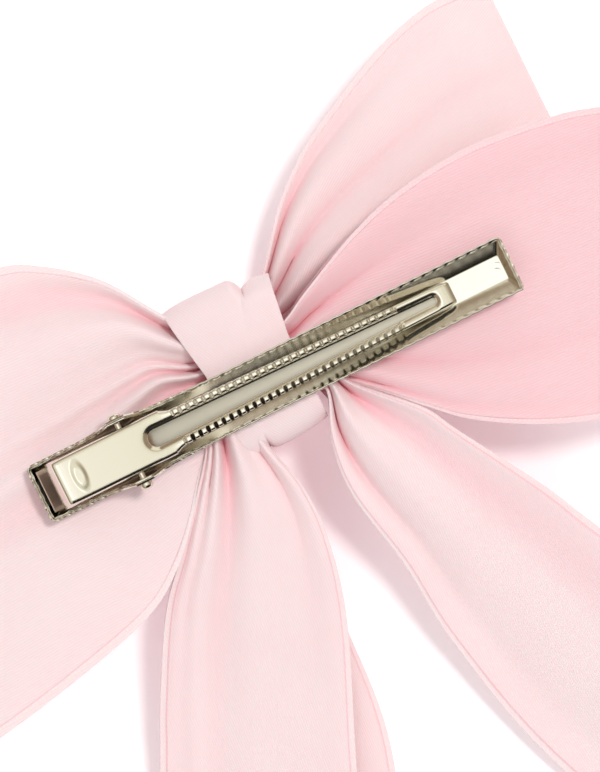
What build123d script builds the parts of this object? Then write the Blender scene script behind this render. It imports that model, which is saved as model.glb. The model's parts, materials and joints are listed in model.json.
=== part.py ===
"""Alligator hair clip with a double satin bow, lying on the bow's face, in millimetres.

Frame: +Z up, away from the surface that the bow lies on. The origin is the middle of the knot's front face, on that
surface. +X runs along the clip from its thumb end to the tip of its jaws, and the tails hang towards -Y.
"""

import math
import os

from build123d import *

# Clip: where it sits. Its own lengths are measured from the tray's rear end and up from the tray's floor.
CLIP_REAR_X = -37.6
CLIP_Y = -3.6
FLOOR_Z = 23.05
SHEET = 0.45

# Lower jaw
TRAY_LENGTH = 80.0
TRAY_HALF_WIDTH = 4.52
TRAY_DEPTH = 2.1
TRAY_REAR_HALF_FLOOR = 3.95
TRAY_FRONT_HALF_FLOOR = 2.9
TRAY_END_LEAN = 0.5
TRAY_FLARE_START = 20.0
TRAY_FLARE_END = 30.0
TOOTH_PITCH = 1.3
RIM_TOOTH_RADIUS = 0.42
RIM_TOOTH_DEPTH = 0.14

# Hinge
PIN_X = 15.4
PIN_Z = 3.4
PIN_RADIUS = 0.5
PIN_FIT = 0.03
PIN_HALF_SPAN = 5.12
PIN_HEAD_RADIUS = 1.05
EAR_HALF_FOOT = 4.6
EAR_HALF_TOP = 1.25
EAR_TOP = 4.75
EAR_LEAN = 0.6

# Upper jaw
LEVER_REAR_TOP = (4.2, 6.8)
LEVER_REAR_BOTTOM = (2.7, 4.3)
LEVER_BREAK = (21.9, 4.25)
SHOULDER_START = 20.2
SHOULDER_END = 23.6
LEVER_TIP = (70.0, 0.95)
LEVER_HALF_WIDTH = 3.7
LEVER_FLANGE = 1.5
PRONG_DEPTH = 0.9
PRONG_ROOT_HALF = 2.95
PRONG_TIP_HALF = 1.85
SLOT_START = 18.6
SLOT_END = 67.2
SLOT_ROOT_HALF = 1.35
SLOT_TIP_HALF = 0.45
LEVER_ROUNDING = 0.55
RIDGE_START = 24.8
RIDGE_COUNT = 28
RIDGE_RADIUS = 0.36
RIDGE_TILT = 26.0
DIMPLE_X = 7.1
DIMPLE_LENGTH = 4.7
DIMPLE_WIDTH = 1.7
DIMPLE_RISE = 0.3

# Spring
SPRING_THICKNESS = 0.3
SPRING_HALF_WIDTH = 2.9
SPRING_TONGUE_HALF_WIDTH = 3.4

# Knot
KNOT_HALF_WIDTH = 7.5
KNOT_HALF_HEIGHT = 13.0
KNOT_DEPTH = 22.0
KNOT_ROUNDING = 6.0
WRAP_THICKNESS = 0.8
TIE_THICKNESS = 0.45
TIE_HALF_WIDTH = 1.5

# Ribbon
RIBBON_THICKNESS = 0.8
RIBBON_HALF_WIDTH = 24.0
NECK_HALF_WIDTH = 4.7
FLARE_LENGTH = 18.0

# Each loop's tip angle, the Y of its neck and its half width where it is open
BACK_LOOP_RIGHT = (-9.0, 0.0, 25.0)
BACK_LOOP_LEFT = (-4.0, 2.4, 31.0)
FRONT_LOOP = (12.0, 3.4, 24.0)
BACK_LOOP_LENGTH = 78.0
FRONT_LOOP_LENGTH = 60.0

EXTRA = 20.0  # how far a cutting body runs past what it cuts


def clip_plane(z=0.0):
    """Horizontal plane in the clip's own measure, z above the tray's floor."""
    return Plane(origin=(CLIP_REAR_X, CLIP_Y, FLOOR_Z + z), x_dir=(1, 0, 0), z_dir=(0, 0, 1))


def clip_side_plane():
    """Upright plane along the clip: local x runs from the rear end, local y is up from the tray's floor."""
    return Plane(origin=(CLIP_REAR_X, CLIP_Y, FLOOR_Z), x_dir=(1, 0, 0), z_dir=(0, -1, 0))


def in_clip(x, y, z):
    """Row-frame point of a point given in the clip's own measure."""
    return (CLIP_REAR_X + x, CLIP_Y + y, FLOOR_Z + z)


def mix(low, high, share):
    return low + (high - low) * share


# ---------------------------------------------------------------- lower jaw


def tray_outline(half_rear, half_front, rear, front):
    """Closed outline of the tray at one height: upright behind the hinge, flared in front of it."""
    upper = [(rear, half_rear), (TRAY_FLARE_START, half_rear), (TRAY_FLARE_END, half_front), (front, half_front)]
    lower = [(x, -y) for x, y in reversed(upper)]
    return Polyline(*upper, *lower, close=True)


def tray_block(inset):
    """The tray's outer block, or with an inset the hollow that is cut out of it."""
    bottom = 0.0 if inset else -SHEET
    rear, front = TRAY_END_LEAN + inset, TRAY_LENGTH - TRAY_END_LEAN - inset
    with BuildPart() as block:
        with BuildSketch(clip_plane(bottom)):
            with BuildLine():
                tray_outline(TRAY_REAR_HALF_FLOOR - inset, TRAY_FRONT_HALF_FLOOR - inset, rear, front)
            make_face()
        with BuildSketch(clip_plane(TRAY_DEPTH)):
            with BuildLine():
                tray_outline(TRAY_HALF_WIDTH - inset, TRAY_HALF_WIDTH - inset, inset, TRAY_LENGTH - inset)
            make_face()
        loft(ruled=True)
    return block.part


def tray_ear(side):
    """Ear that leans out of the side wall and carries the pin."""
    foot_y, top_y = TRAY_HALF_WIDTH - SHEET / 2 - 0.08, TRAY_HALF_WIDTH - SHEET / 2 + EAR_LEAN
    foot_z = TRAY_DEPTH - 0.5
    with BuildPart() as ear:
        with BuildSketch(clip_plane(foot_z)):
            with Locations((PIN_X - 0.6, side * foot_y)):
                Rectangle(2 * EAR_HALF_FOOT, SHEET)
        with BuildSketch(clip_plane(EAR_TOP)):
            with Locations((PIN_X, side * top_y)):
                Rectangle(2 * EAR_HALF_TOP, SHEET)
        loft(ruled=True)
        top_corners = ear.edges().filter_by(lambda e: abs((e @ 0).Z - (e @ 1).Z) < 0.01).group_by(Axis.Z)[-1]
        fillet(ear.edges().filter_by(Axis.Y).group_by(Axis.Z)[-1], 0.9) if len(top_corners) == 4 else None
    return ear.part


def rim_notches():
    """Upright cutters that crimp the outside of the rim, along both sides and across the front end."""
    reach = TRAY_HALF_WIDTH + RIM_TOOTH_RADIUS - RIM_TOOTH_DEPTH
    count = int((TRAY_LENGTH - TRAY_FLARE_START - 2 * TOOTH_PITCH) / TOOTH_PITCH)
    xs = [TRAY_FLARE_START + 2 * TOOTH_PITCH + i * TOOTH_PITCH for i in range(count)]
    along = [(x, side * reach) for x in xs for side in (-1, 1)]
    end_x = TRAY_LENGTH + RIM_TOOTH_RADIUS - RIM_TOOTH_DEPTH
    across = [(end_x, i * TOOTH_PITCH) for i in range(-2, 3)]
    with BuildPart() as notches:
        with BuildSketch(clip_plane(TRAY_DEPTH - 1.0)):
            with Locations(*along, *across):
                Circle(RIM_TOOTH_RADIUS)
        extrude(amount=2.0)
    return notches.part


def build_base_tray():
    with BuildPart() as tray:
        add(tray_block(0.0))
        bottom_edges = tray.faces().sort_by(Axis.Z)[0].edges()
        fillet(bottom_edges, 0.4)
        add(tray_block(SHEET), mode=Mode.SUBTRACT)
        add(tray_ear(1))
        add(tray_ear(-1))
        with BuildSketch(clip_side_plane()):
            with Locations((PIN_X, PIN_Z)):
                Circle(PIN_RADIUS + PIN_FIT)
        extrude(amount=EXTRA, both=True, mode=Mode.SUBTRACT)
        add(rim_notches(), mode=Mode.SUBTRACT)
    return tray.part


# ---------------------------------------------------------------- upper jaw


def prong_share(x):
    """How far x lies along the prongs, 0 at the shoulder and 1 at the tip."""
    return (x - LEVER_BREAK[0]) / (LEVER_TIP[0] - LEVER_BREAK[0])


def prong_top(x):
    """Height of the prongs' crest above the tray's floor."""
    return mix(LEVER_BREAK[1], LEVER_TIP[1], prong_share(x))


def prong_half(x):
    return mix(PRONG_ROOT_HALF, PRONG_TIP_HALF, prong_share(x))


def thumb_plate():
    """Rear half of the upper jaw: a channel with rounded shoulders, closed by a sloping flange at the rear."""
    side_view = [
        LEVER_REAR_TOP,
        LEVER_BREAK,
        (SHOULDER_END, prong_top(SHOULDER_END)),
        (SHOULDER_END, prong_top(SHOULDER_END) - PRONG_DEPTH),
        (SHOULDER_START, LEVER_BREAK[1] + 0.2 - LEVER_FLANGE),
        LEVER_REAR_BOTTOM,
    ]
    hollow = [
        (LEVER_REAR_TOP[0] + SHEET, LEVER_REAR_TOP[1] - SHEET),
        (LEVER_BREAK[0], LEVER_BREAK[1] - SHEET),
        (SHOULDER_END + SHEET, prong_top(SHOULDER_END) - SHEET),
        (SHOULDER_END + SHEET, 0.0),
        (LEVER_REAR_BOTTOM[0] + SHEET, LEVER_REAR_BOTTOM[1] - SHEET),
    ]
    with BuildPart() as plate:
        with BuildSketch(clip_side_plane()):
            with BuildLine():
                Polyline(*side_view, close=True)
            make_face()
        extrude(amount=LEVER_HALF_WIDTH, both=True)
        long_edges = plate.faces().filter_by(lambda f: f.normal_at().Z > 0.8).sort_by(Axis.X)[0].edges()
        fillet([e for e in long_edges if abs((e @ 0).Y - (e @ 1).Y) < SHEET], LEVER_ROUNDING)
        with BuildSketch(clip_side_plane()):
            with BuildLine():
                Polyline(*hollow, close=True)
            make_face()
        extrude(amount=LEVER_HALF_WIDTH - SHEET, both=True, mode=Mode.SUBTRACT)
        with BuildSketch(clip_plane(-1.0)):
            with Locations((SLOT_START + SLOT_ROOT_HALF, 0)):
                Circle(SLOT_ROOT_HALF)
            with Locations((SLOT_START + SLOT_ROOT_HALF + LEVER_HALF_WIDTH, 0)):
                Rectangle(2 * LEVER_HALF_WIDTH, 2 * SLOT_ROOT_HALF)
        extrude(amount=LEVER_REAR_TOP[1] + 2.0, mode=Mode.SUBTRACT)
        for side in (-1, 1):
            with BuildSketch(clip_plane(-1.0)):
                with BuildLine():
                    outside = side * (LEVER_HALF_WIDTH + SHEET)
                    foot = [(SHOULDER_START, side * LEVER_HALF_WIDTH), (SHOULDER_END, side * PRONG_ROOT_HALF)]
                    Polyline(*foot, (SHOULDER_END + SHEET, outside), (SHOULDER_START, outside), close=True)
                make_face()
            extrude(amount=LEVER_REAR_TOP[1] + 2.0, mode=Mode.SUBTRACT)
    return plate.part


def prong_section(x, side):
    """Cross-section of a prong: a sheet arched from the slot's edge over to the outer edge."""
    top, outer = prong_top(x), prong_half(x)
    inner = mix(SLOT_ROOT_HALF, SLOT_TIP_HALF, prong_share(x))
    shoulder = (outer - inner) * 0.3
    over = [(inner, top - 0.6), (inner + 0.15, top - 0.2), (inner + shoulder, top), (outer - shoulder, top)]
    over += [(outer - 0.12, top - 0.3), (outer, top - PRONG_DEPTH)]
    under = [(outer - SHEET * 0.8, top - PRONG_DEPTH), (outer - SHEET, top - 0.55)]
    under += [(outer - shoulder, top - SHEET), (inner + shoulder, top - SHEET), (inner + SHEET * 0.8, top - 0.6)]
    with BuildSketch(Plane(origin=in_clip(x, 0, 0), x_dir=(0, 1, 0), z_dir=(1, 0, 0))) as section:
        with BuildLine():
            Polyline(*[(side * y, z) for y, z in over + under], close=True)
        make_face()
    return section.sketch


def prong(side):
    with BuildPart() as arm:
        add(prong_section(LEVER_BREAK[0] - 0.6, side))
        add(prong_section(LEVER_TIP[0] - 1.0, side))
        loft(ruled=True)
    return arm.part


def jaw_tip():
    """Crossbar that joins the prongs and bites on the tray's floor."""
    with BuildPart() as tip:
        with BuildSketch(clip_side_plane()):
            with BuildLine():
                top = prong_top(LEVER_TIP[0] - 2.1)
                Polyline(
                    (LEVER_TIP[0] - 2.1, top),
                    (LEVER_TIP[0], LEVER_TIP[1] - 0.15),
                    (LEVER_TIP[0], 0.05),
                    (LEVER_TIP[0] - SHEET, 0.05),
                    (LEVER_TIP[0] - 2.1, top - SHEET),
                    close=True,
                )
            make_face()
        extrude(amount=PRONG_TIP_HALF - 0.1, both=True)
        fillet(tip.edges().filter_by(Axis.Z), 0.4)
    return tip.part


def lever_ear(side):
    """Lug under the side flange, round the pin."""
    y = side * (LEVER_HALF_WIDTH - SHEET / 2)
    with BuildPart() as ear:
        with BuildSketch(clip_side_plane().offset(-y)):
            with Locations((PIN_X, PIN_Z)):
                Circle(1.3)
            with Locations((PIN_X, PIN_Z + 0.6)):
                Rectangle(2.6, 1.2)
        extrude(amount=SHEET / 2, both=True)
    return ear.part


def ridge_cutters():
    """Short tilted rods that notch the outer shoulder of each prong."""
    with BuildPart() as cutters:
        for i in range(RIDGE_COUNT):
            x = RIDGE_START + i * TOOTH_PITCH
            for side in (-1, 1):
                spot = in_clip(x, side * (prong_half(x) - 0.35), prong_top(x) + 0.13)
                with Locations(Location(spot, (90 - side * RIDGE_TILT, 0, 0))):
                    Cylinder(RIDGE_RADIUS, 1.7)
    return cutters.part


def build_lever():
    with BuildPart() as lever:
        add(thumb_plate())
        add(prong(1))
        add(prong(-1))
        add(jaw_tip())
        add(lever_ear(1))
        add(lever_ear(-1))
        with BuildSketch(clip_side_plane()):
            with Locations((PIN_X, PIN_Z)):
                Circle(PIN_RADIUS + PIN_FIT)
        extrude(amount=LEVER_HALF_WIDTH + 1.0, both=True, mode=Mode.SUBTRACT)
        add(ridge_cutters(), mode=Mode.SUBTRACT)
        add(dimple())
    return lever.part


def dimple():
    """Oval boss pressed up through the thumb plate."""
    run, fall = LEVER_BREAK[0] - LEVER_REAR_TOP[0], LEVER_REAR_TOP[1] - LEVER_BREAK[1]
    slope = math.degrees(math.atan2(fall, run))
    height = mix(LEVER_REAR_TOP[1], LEVER_BREAK[1], (DIMPLE_X - LEVER_REAR_TOP[0]) / run)
    plane = Plane(in_clip(DIMPLE_X, 0, height - 0.1), x_dir=(0, 1, 0), z_dir=(0, 0, 1)).rotated((slope, 0, 0))
    with BuildPart() as boss:
        with BuildSketch(plane):
            SlotOverall(DIMPLE_LENGTH, DIMPLE_WIDTH)
        extrude(amount=DIMPLE_RISE + 0.1, taper=30)
    return boss.part


# ---------------------------------------------------------------- pin and spring


def build_pivot_pin():
    with BuildPart() as pin:
        with BuildSketch(clip_side_plane()):
            with Locations((PIN_X, PIN_Z)):
                Circle(PIN_RADIUS)
        extrude(amount=PIN_HALF_SPAN, both=True)
        for side, thickness in ((-1, 1.35), (1, 1.05)):
            with BuildSketch(clip_side_plane().offset(-side * PIN_HALF_SPAN)):
                with Locations((PIN_X, PIN_Z)):
                    Circle(PIN_HEAD_RADIUS)
            extrude(amount=-side * thickness)
        heads = pin.edges().filter_by(GeomType.CIRCLE).filter_by(lambda e: e.radius > 0.9).sort_by(Axis.Y)
        fillet([heads[0], heads[-1]], 0.8)
    return pin.part


def build_leaf_spring():
    """Flat spring: a tongue rising at the rear, the lower leg on the floor, a bend ahead of the pin, the upper leg."""
    lift = 0.03
    bend_x, bend_top = PIN_X + 1.6, 4.4
    bend_radius = (bend_top - lift) / 2
    with BuildPart() as spring:
        with BuildSketch(clip_side_plane()):
            with BuildLine():
                Line((6.2, lift), (bend_x, lift))
                ThreePointArc((bend_x, lift), (bend_x + bend_radius, lift + bend_radius), (bend_x, bend_top))
                Line((bend_x, bend_top), (6.0, 5.9))
                offset(amount=SPRING_THICKNESS, side=Side.LEFT)
            make_face()
        extrude(amount=SPRING_HALF_WIDTH, both=True)
        with BuildSketch(clip_side_plane()):
            with BuildLine():
                high = lift + SPRING_THICKNESS
                Polyline((7.0, lift), (7.0, high), (1.5, high + 1.25), (1.4, lift + 1.25), close=True)
            make_face()
        extrude(amount=SPRING_TONGUE_HALF_WIDTH, both=True)
    return spring.part


# ---------------------------------------------------------------- knot


def knot_ring(half_height, low, high, rounding, thickness, half_width):
    """Band round the gathered ribbons: a rounded ring in the YZ plane, half_width to each side of the middle."""
    middle = (low + high) / 2
    with BuildPart() as ring:
        with BuildSketch(Plane.YZ):
            with Locations((0, middle)):
                RectangleRounded(2 * half_height, high - low, rounding)
                inner_round = rounding - thickness
                RectangleRounded(
                    2 * (half_height - thickness), high - low - 2 * thickness, inner_round, mode=Mode.SUBTRACT
                )
        extrude(amount=half_width, both=True)
    return ring.part


def build_knot_wrap():
    return knot_ring(KNOT_HALF_HEIGHT, 0.0, KNOT_DEPTH, KNOT_ROUNDING, WRAP_THICKNESS, KNOT_HALF_WIDTH)


def build_tie_thread():
    gap = WRAP_THICKNESS + 0.1
    return knot_ring(
        KNOT_HALF_HEIGHT - gap, gap, KNOT_DEPTH - gap, KNOT_ROUNDING - gap, TIE_THICKNESS, TIE_HALF_WIDTH
    )


def build_glue_pad():
    with BuildPart() as pad:
        with BuildSketch(Plane.XY.offset(KNOT_DEPTH)):
            with Locations((0, CLIP_Y)):
                RectangleRounded(2 * KNOT_HALF_WIDTH - 1.0, 6.6, 1.5)
        extrude(amount=FLOOR_Z - SHEET - KNOT_DEPTH)
    return pad.part


# ---------------------------------------------------------------- loops


def ribbon_half(r, widest):
    """Half width that the gathered ribbon has opened to, r from the middle of the knot."""
    if r <= KNOT_HALF_WIDTH:
        return NECK_HALF_WIDTH
    opened = 1 - math.exp(-(((r - KNOT_HALF_WIDTH) / FLARE_LENGTH) ** 1.5))
    return mix(NECK_HALF_WIDTH, widest, opened)


def loop(side, angle, neck_y, widest, length, outer, inner):
    """Half ring of ribbon pinched at the knot, on the +X or -X side. outer and inner are its side profiles, rear layer
    first. angle tips it towards +Y."""
    turn = math.radians(angle)
    along = (side * math.cos(turn), math.sin(turn), 0)
    with BuildPart() as half:
        with BuildSketch(Plane(origin=(0, neck_y, 0), x_dir=along, z_dir=(along[1], -along[0], 0))):
            with BuildLine():
                for profile in (outer, inner):
                    first, last = profile[0], profile[-1]
                    Line((-EXTRA, first[1]), first)
                    Spline(*profile, tangents=((1, 0), (-1, 0)))
                    Line(last, (-EXTRA, last[1]))
                Line((-EXTRA, outer[0][1]), (-EXTRA, inner[0][1]))
                Line((-EXTRA, inner[-1][1]), (-EXTRA, outer[-1][1]))
            make_face()
        extrude(amount=RIBBON_HALF_WIDTH + EXTRA, both=True)
        with BuildSketch(Plane(origin=(0, neck_y, 0), x_dir=along, z_dir=(0, 0, 1))):
            with BuildLine():
                stations = [KNOT_HALF_WIDTH, 12, 18, 25, 34, 46, length + EXTRA]
                for edge in (1, -1):
                    Line((-EXTRA, edge * NECK_HALF_WIDTH), (stations[0], edge * NECK_HALF_WIDTH))
                    Spline(*[(r, edge * ribbon_half(r, widest)) for r in stations], tangents=((1, 0), (1, 0)))
                    Line((stations[-1], edge * ribbon_half(stations[-1], widest)), (stations[-1], 0))
                    Line((-EXTRA, edge * NECK_HALF_WIDTH), (-EXTRA, 0))
            make_face()
        extrude(amount=FLOOR_Z + EXTRA, mode=Mode.INTERSECT)
        split(bisect_by=Plane.YZ, keep=Keep.TOP if side > 0 else Keep.BOTTOM)
    return half.part


def loop_pair(right, left, length, outer, inner):
    """Ring of ribbon whose right and left halves each have an angle, a height at the neck and a half width."""
    with BuildPart() as ring:
        add(loop(1, *right, length, outer, inner))
        add(loop(-1, *left, length, outer, inner))
    return ring.part


def build_back_loops():
    t = RIBBON_THICKNESS
    top, middle, low = 17.0, 14.6, 12.2
    outer = [(9, top), (24, 18.9), (42, 21.5), (62, 20.4), (74, 18.0), (78, 15.7)]
    outer += [(73.5, 13.3), (60, 12.3), (42, low), (14, low)]
    inner = [(9, middle + 0.15), (24, 18.9 - t), (42, 21.5 - t), (62, 20.4 - t), (73.2, 17.6), (77.1, 15.7)]
    inner += [(72.8, 14.0), (60, 12.3 + t), (42, low + t), (24, low + t), (9, middle - 0.15)]
    return loop_pair(BACK_LOOP_RIGHT, BACK_LOOP_LEFT, BACK_LOOP_LENGTH, outer, inner)


def build_front_loops():
    t = RIBBON_THICKNESS
    top, middle, low = 9.4, 5.8, 2.2
    outer = [(9, top), (22, 10.9), (36, 11.3), (49, 9.8), (57.5, 7.4), (60, 5.3)]
    outer += [(56.5, 2.6), (47, 0.4), (38, 0.0), (28, 0.2), (9, low)]
    inner = [(9, middle + 0.15), (22, 10.9 - t), (36, 11.3 - t), (49, 9.8 - t), (56.6, 6.9), (59.1, 5.3)]
    inner += [(55.8, 3.2), (46.6, 1.2), (38, t), (28, t + 0.2), (9, middle - 0.15)]
    return loop_pair(FRONT_LOOP, FRONT_LOOP, FRONT_LOOP_LENGTH, outer, inner)


# ---------------------------------------------------------------- tails


def tail_pair(drop, left, right, neck):
    """Strip of ribbon with a tail at each end. drop is its side profile (y, z of its upper face), neck its thickness
    where it is gathered. left and right each hold the tail's outer edge, from the knot to the end, then its inner."""
    neck_back, neck_front = -1.6, -8.4
    with BuildPart() as strip:
        with BuildSketch(Plane.YZ):
            with BuildLine():
                upper = Spline(*drop, tangents=((-1, 0), (-1, 0)))
                end_y, end_z = drop[-1]
                lower = [(y, z - RIBBON_THICKNESS) for y, z in reversed(drop[2:])]
                Line(upper @ 1, (end_y, end_z - RIBBON_THICKNESS))
                under = Spline(*lower, (drop[0][0] - 7.5, drop[0][1] - neck), tangents=((1, 0), (1, 0)))
                Line(under @ 1, (drop[0][0], drop[0][1] - neck))
                Line((drop[0][0], drop[0][1] - neck), upper @ 0)
            make_face()
        extrude(amount=4 * RIBBON_HALF_WIDTH, both=True)
        with BuildSketch(Plane.XY):
            with BuildLine():
                for mirror_sign, (outer, inner) in ((-1, left), (1, right)):
                    top_corner = (mirror_sign * 8.2, neck_back)
                    low_corner = (mirror_sign * 8.2, neck_front)
                    Spline(top_corner, *outer, tangents=((mirror_sign, 0), (mirror_sign * 0.4, -0.9)))
                    Line(outer[-1], inner[-1])
                    Spline(low_corner, *inner, tangents=((0, -1), (mirror_sign * 0.4, -0.9)))
                Line((-8.2, neck_back), (8.2, neck_back))
                Line((-8.2, neck_front), (8.2, neck_front))
            make_face()
        extrude(amount=FLOOR_Z + EXTRA, mode=Mode.INTERSECT)
    return strip.part


def build_back_tails():
    drop = [(0, 20.4), (-9, 20.5), (-15, 19.6), (-30, 13.2), (-50, 6.6), (-70, 3.2), (-90, 2.3), (-115, 2.2)]
    left_outer = [(-14.6, -9), (-20.0, -18.6), (-30.6, -31.6), (-40.5, -49.1), (-50.5, -68), (-56, -81)]
    left_inner = [(-7.9, -14), (-2.6, -21), (-2.2, -32), (-8.5, -52), (-19.5, -80), (-30.5, -109)]
    right_outer = [(13.5, -9), (24.4, -23.6), (32.4, -37.6), (42, -55.5), (56, -81)]
    right_inner = [(7.6, -15), (5.4, -24), (7.2, -37), (10.4, -61), (18.5, -85), (28.5, -109)]
    return tail_pair(drop, (left_outer, left_inner), (right_outer, right_inner), 1.6)


def build_front_tails():
    drop = [(0, 11.6), (-9, 11.6), (-15, 11.0), (-30, 7.4), (-50, 3.8), (-70, 1.5), (-90, 1.0), (-115, 0.9)]
    left_outer = [(-13, -9), (-17.5, -19), (-25, -32), (-35, -50), (-46, -72)]
    left_inner = [(-7.9, -14), (-3.6, -23), (-3.0, -34), (-5.1, -53.7), (-11.5, -74), (-21, -101)]
    right_outer = [(13, -9), (21, -21), (29, -36), (38, -53), (49, -74)]
    right_inner = [(8.1, -15), (8.6, -26), (11, -40), (15.5, -60), (28, -101)]
    return tail_pair(drop, (left_outer, left_inner), (right_outer, right_inner), 1.6)


# ---------------------------------------------------------------- write every piece


def main():
    os.makedirs("parts", exist_ok=True)
    pieces = {
        "base_tray": build_base_tray(),
        "lever": build_lever(),
        "pivot_pin": build_pivot_pin(),
        "leaf_spring": build_leaf_spring(),
        "glue_pad": build_glue_pad(),
        "knot_wrap": build_knot_wrap(),
        "tie_thread": build_tie_thread(),
        "back_loops": build_back_loops(),
        "front_loops": build_front_loops(),
        "back_tails": build_back_tails(),
        "front_tails": build_front_tails(),
    }
    for name, piece in pieces.items():
        piece.label = name
        export_step(piece, f"parts/{name}.step")
        print(name, "solids", len(piece.solids()), "volume", round(piece.volume, 2))


main()
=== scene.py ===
"""Looks of the alligator hair clip and its double satin bow. All helper lengths are in millimetres."""

import json
import math

import bpy
import numpy as np
from mathutils import Matrix, Vector


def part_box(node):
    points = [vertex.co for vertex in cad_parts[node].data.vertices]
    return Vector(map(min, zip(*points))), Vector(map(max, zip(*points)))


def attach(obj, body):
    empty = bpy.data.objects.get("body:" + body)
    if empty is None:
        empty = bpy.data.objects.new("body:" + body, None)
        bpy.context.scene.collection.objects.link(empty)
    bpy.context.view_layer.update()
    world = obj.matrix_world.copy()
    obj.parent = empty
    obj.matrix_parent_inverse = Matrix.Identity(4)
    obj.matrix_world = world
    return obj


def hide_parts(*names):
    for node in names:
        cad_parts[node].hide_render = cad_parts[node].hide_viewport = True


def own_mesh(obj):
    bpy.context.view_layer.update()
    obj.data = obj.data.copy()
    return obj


MM = 0.001
RIBBON_SHEET = 0.32
METAL_SHEET = 0.42
HEM_WIDTH = 1.35
WARP_PITCH = 0.42
WEFT_PITCH = 0.30
STITCH_PITCH = 0.62
CREASE_SOFT = 0.020
WIDEST_CREASE = 0.075
RESTING_CLEARANCE = 0.2
FIRST_RIB = 23.6
RIB_PITCH = 1.32
LOOP_HALF = 31.5
TAIL_HALF = 19.0
WRAP_HALF = 7.5
SEAM_HALF = 0.11
STITCH_HALF = 0.16

SATIN_TINT = (0.870, 0.690, 0.700, 1)
SATIN_PALE = (0.890, 0.775, 0.770, 1)
# deep pink of the darker threads and the seam, and the colour that painted shade blends toward
SATIN_DEEP_AND_SHADE = (0.850, 0.400, 0.460, 1)
STITCH_COLOUR = (0.94, 0.80, 0.80, 1)
CREAM = (0.90, 0.87, 0.73)
CARD_BLACK = (0.02, 0.018, 0.015)
# near black painted into the lever's rib gaps as shade
GAP_SHADE_COLOUR = (0.035, 0.03, 0.025, 1)

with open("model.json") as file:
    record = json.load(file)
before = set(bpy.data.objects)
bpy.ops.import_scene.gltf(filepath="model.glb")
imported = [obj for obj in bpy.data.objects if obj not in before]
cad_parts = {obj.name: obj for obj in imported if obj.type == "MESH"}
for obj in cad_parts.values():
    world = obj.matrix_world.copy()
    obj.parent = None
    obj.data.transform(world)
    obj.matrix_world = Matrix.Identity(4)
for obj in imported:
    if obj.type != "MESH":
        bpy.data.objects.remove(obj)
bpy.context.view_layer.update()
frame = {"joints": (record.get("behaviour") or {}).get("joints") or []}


def corners(node):
    low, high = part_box(node)
    return np.array(low) / MM, np.array(high) / MM


TRAY_LOW, TRAY_HIGH = corners("base_tray")
PIN_LOW, PIN_HIGH = corners("pivot_pin")
KNOT_LOW, KNOT_HIGH = corners("knot_wrap")
HINGE = np.array(frame["joints"][0]["pos_m"]) / MM
CLIP_REAR = TRAY_LOW[0]
CLIP_Y = HINGE[1]
FLOOR_Z = TRAY_LOW[2] + 0.45


# ---------------------------------------------------------------- curves and grids


def smooth_path(points, count):
    """Catmull-Rom curve through points, resampled at count evenly spaced places."""
    p = np.array(points, float)
    p = np.vstack([2 * p[0] - p[1], p, 2 * p[-1] - p[-2]])
    fine = []
    for a, b, c, d in zip(p[:-3], p[1:-2], p[2:-1], p[3:]):
        t = np.linspace(0, 1, 24, endpoint=False)[:, None]
        square, cube = 2 * a - 5 * b + 4 * c - d, 3 * b - a - 3 * c + d
        fine.append(0.5 * (2 * b + (c - a) * t + square * t**2 + cube * t**3))
    fine = np.vstack(fine + [p[-2:-1]])
    run = np.concatenate([[0], np.cumsum(np.linalg.norm(np.diff(fine, axis=0), axis=1))])
    at = np.linspace(0, run[-1], count)
    return np.stack([np.interp(at, run, fine[:, k]) for k in range(p.shape[1])], axis=1), run[-1]


def curve_at(x, points):
    """Smooth y for each x, through points (x, y) in rising x."""
    path, _ = smooth_path(points, 400)
    return np.interp(x, path[:, 0], path[:, 1])


def step(x, low, high):
    t = np.clip((x - low) / (high - low), 0, 1)
    return t * t * (3 - 2 * t)


def bump(x, centre, width):
    return np.exp(-(((x - centre) / width) ** 2))


def mesh_object(name, verts, faces, maps=None):
    """Smooth mesh from points in millimetres, with a UV map for each entry of maps."""
    mesh = bpy.data.meshes.new(name)
    mesh.from_pydata([tuple(v) for v in np.asarray(verts) * MM], [], faces)
    for title, uv in (maps or {}).items():
        layer = mesh.uv_layers.new(name=title)
        loops = np.zeros(len(mesh.loops), np.int32)
        mesh.loops.foreach_get("vertex_index", loops)
        layer.data.foreach_set("uv", np.asarray(uv, np.float32).reshape(-1, 2)[loops].ravel())
    mesh.polygons.foreach_set("use_smooth", [True] * len(mesh.polygons))
    mesh.update()
    obj = bpy.data.objects.new(name, mesh)
    bpy.context.scene.collection.objects.link(obj)
    return obj


def grid_faces(rows, cols, wrap_rows=False, wrap_cols=False):
    faces = []
    for i in range(rows if wrap_rows else rows - 1):
        for j in range(cols if wrap_cols else cols - 1):
            i2, j2 = (i + 1) % rows, (j + 1) % cols
            faces.append((i * cols + j, i * cols + j2, i2 * cols + j2, i2 * cols + j))
    return faces


def grid_object(name, points, maps=None, wrap_rows=False, wrap_cols=False):
    """Mesh from a (rows, cols, 3) array of points in millimetres."""
    rows, cols = points.shape[:2]
    return mesh_object(name, points.reshape(-1, 3), grid_faces(rows, cols, wrap_rows, wrap_cols), maps)


def solidify(obj, thickness, offset=0.0):
    mod = obj.modifiers.new("sheet", "SOLIDIFY")
    mod.thickness, mod.offset = thickness * MM, offset
    return obj


def weld(obj, distance=0.01):
    mod = obj.modifiers.new("weld", "WELD")
    mod.merge_threshold = distance * MM
    return obj


# ---------------------------------------------------------------- materials


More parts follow.
